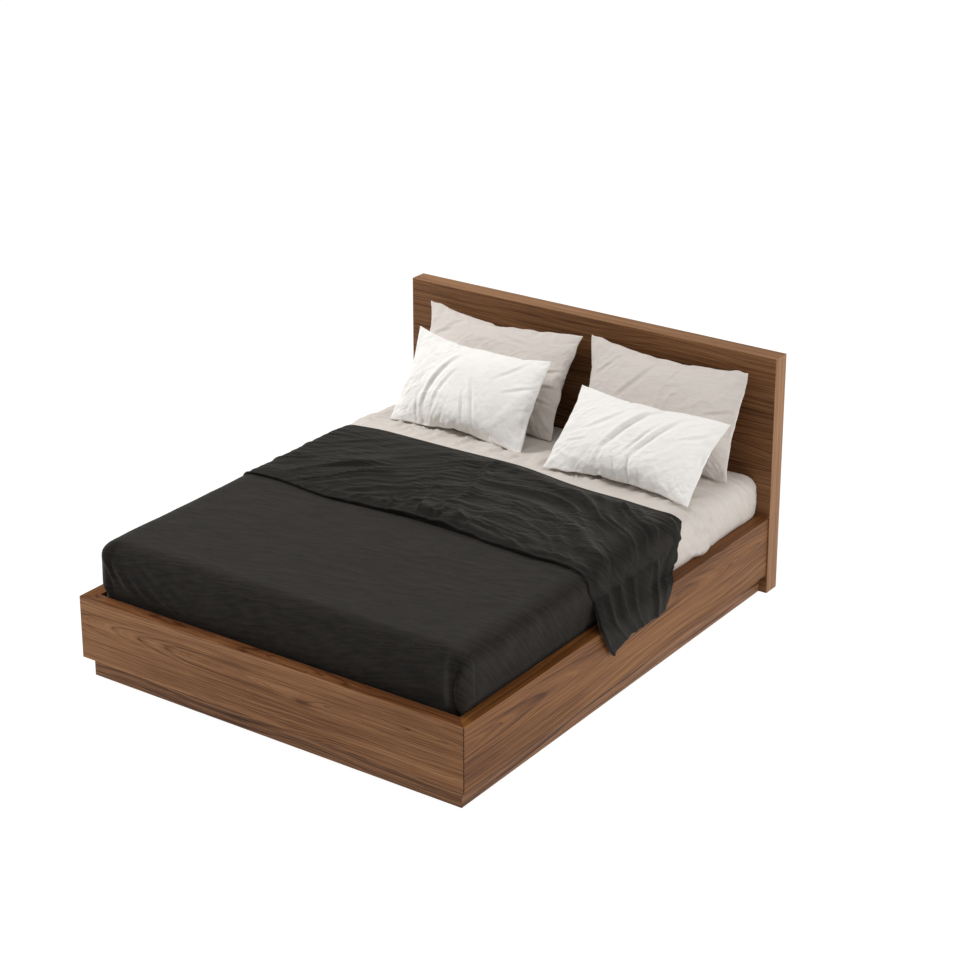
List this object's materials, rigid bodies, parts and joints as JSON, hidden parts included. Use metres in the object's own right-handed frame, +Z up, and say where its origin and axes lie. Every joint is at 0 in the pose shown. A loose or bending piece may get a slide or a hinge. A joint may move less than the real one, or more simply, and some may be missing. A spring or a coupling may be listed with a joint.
{
  "type": "platform bed",
  "caption": "Low platform bed with a flat upright headboard, slatted base, mattress, tucked-in bedspread, a crumpled throw across the middle and propped pillows.",
  "frame": {"origin": "on the floor under the centre of the bed", "axes": "+Y from the foot to the headboard, +X to the right for someone standing at the foot and looking at the headboard, +Z up"},
  "size_m": [1.743, 2.145, 0.99],
  "materials": {
    "walnut_rails": "satin walnut veneer, grain along the board",
    "walnut_plinth": "satin walnut veneer, darker",
    "walnut_headboard": "satin walnut veneer, grain across the bed",
    "walnut_edging": "satin walnut lipping",
    "frame_softwood": "planed softwood",
    "slat_softwood": "planed softwood",
    "beech_dowels": "plain beech",
    "bracket_steel": "black powder coat",
    "fastener_steel": "zinc plated",
    "glide_plastic": "matte",
    "mattress_ticking": "quilted knit",
    "sheet_cotton": "plain woven cotton",
    "charcoal_linen": "plain woven linen",
    "charcoal_throw": "washed linen, crumpled",
    "grey_pillow_cotton": "plain woven cotton",
    "white_pillow_cotton": "plain woven cotton",
    "pillow_filling": "fibre filling in a plain ticking"
  },
  "bodies": {
    "frame": {"beam_hangers": "bracket_steel", "bracket_bolts": "fastener_steel", "centre_beam": "frame_softwood", "centre_leg_foot": "frame_softwood", "centre_leg_head": "frame_softwood", "cleat_screws": "fastener_steel", "corner_brackets": "bracket_steel", "foot_rail": "walnut_rails", "hanger_screws": "fastener_steel", "headboard_back_panel": "walnut_headboard", "headboard_bottom_rail": "frame_softwood", "headboard_edging_left": "walnut_edging", "headboard_edging_right": "walnut_edging", "headboard_edging_top": "walnut_edging", "headboard_front_panel": "walnut_headboard", "headboard_stile_centre": "frame_softwood", "headboard_stile_left": "frame_softwood", "headboard_stile_right": "frame_softwood", "headboard_top_rail": "frame_softwood", "leg_bolts": "fastener_steel", "leg_glides": "glide_plastic", "mitre_dowels": "beech_dowels", "plinth_back": "walnut_plinth", "plinth_corner_blocks": "frame_softwood", "plinth_dowels": "beech_dowels", "plinth_front": "walnut_plinth", "plinth_left": "walnut_plinth", "plinth_right": "walnut_plinth", "side_rail_left": "walnut_rails", "side_rail_right": "walnut_rails", "slat_01": "slat_softwood", "slat_02": "slat_softwood", "slat_03": "slat_softwood", "slat_04": "slat_softwood", "slat_05": "slat_softwood", "slat_06": "slat_softwood", "slat_07": "slat_softwood", "slat_08": "slat_softwood", "slat_09": "slat_softwood", "slat_10": "slat_softwood", "slat_11": "slat_softwood", "slat_12": "slat_softwood", "slat_13": "slat_softwood", "slat_cleat_left": "frame_softwood", "slat_cleat_right": "frame_softwood", "slat_screws": "fastener_steel"},
    "mattress": {"mattress": "mattress_ticking", "fitted_sheet": "sheet_cotton", "bedspread": "charcoal_linen"},
    "throw": {"throw": "charcoal_throw"},
    "pillow_grey_left": {"pillowcase_grey_left": "grey_pillow_cotton", "pillow_insert_grey_left": "pillow_filling"},
    "pillow_grey_right": {"pillowcase_grey_right": "grey_pillow_cotton", "pillow_insert_grey_right": "pillow_filling"},
    "pillow_white_left": {"pillowcase_white_left": "white_pillow_cotton", "pillow_insert_white_left": "pillow_filling"},
    "pillow_white_right": {"pillowcase_white_right": "white_pillow_cotton", "pillow_insert_white_right": "pillow_filling"}
  },
  "joints": [
    {"name": "mattress_lift", "type": "slide", "parent": "frame", "child": "mattress", "axis": [0, 0, 1], "range_m": [0, 0.35]},
    {"name": "throw_lift", "type": "slide", "parent": "mattress", "child": "throw", "axis": [0, 0, 1], "range_m": [0, 0.4]},
    {"name": "grey_pillow_left_lift", "type": "slide", "parent": "mattress", "child": "pillow_grey_left", "axis": [0, 0, 1], "range_m": [0, 0.45]},
    {"name": "grey_pillow_right_lift", "type": "slide", "parent": "mattress", "child": "pillow_grey_right", "axis": [0, 0, 1], "range_m": [0, 0.45]},
    {"name": "white_pillow_left_lift", "type": "slide", "parent": "pillow_grey_left", "child": "pillow_white_left", "axis": [0, 0, 1], "range_m": [0, 0.4]},
    {"name": "white_pillow_right_lift", "type": "slide", "parent": "pillow_grey_right", "child": "pillow_white_right", "axis": [0, 0, 1], "range_m": [0, 0.4]}
  ]
}
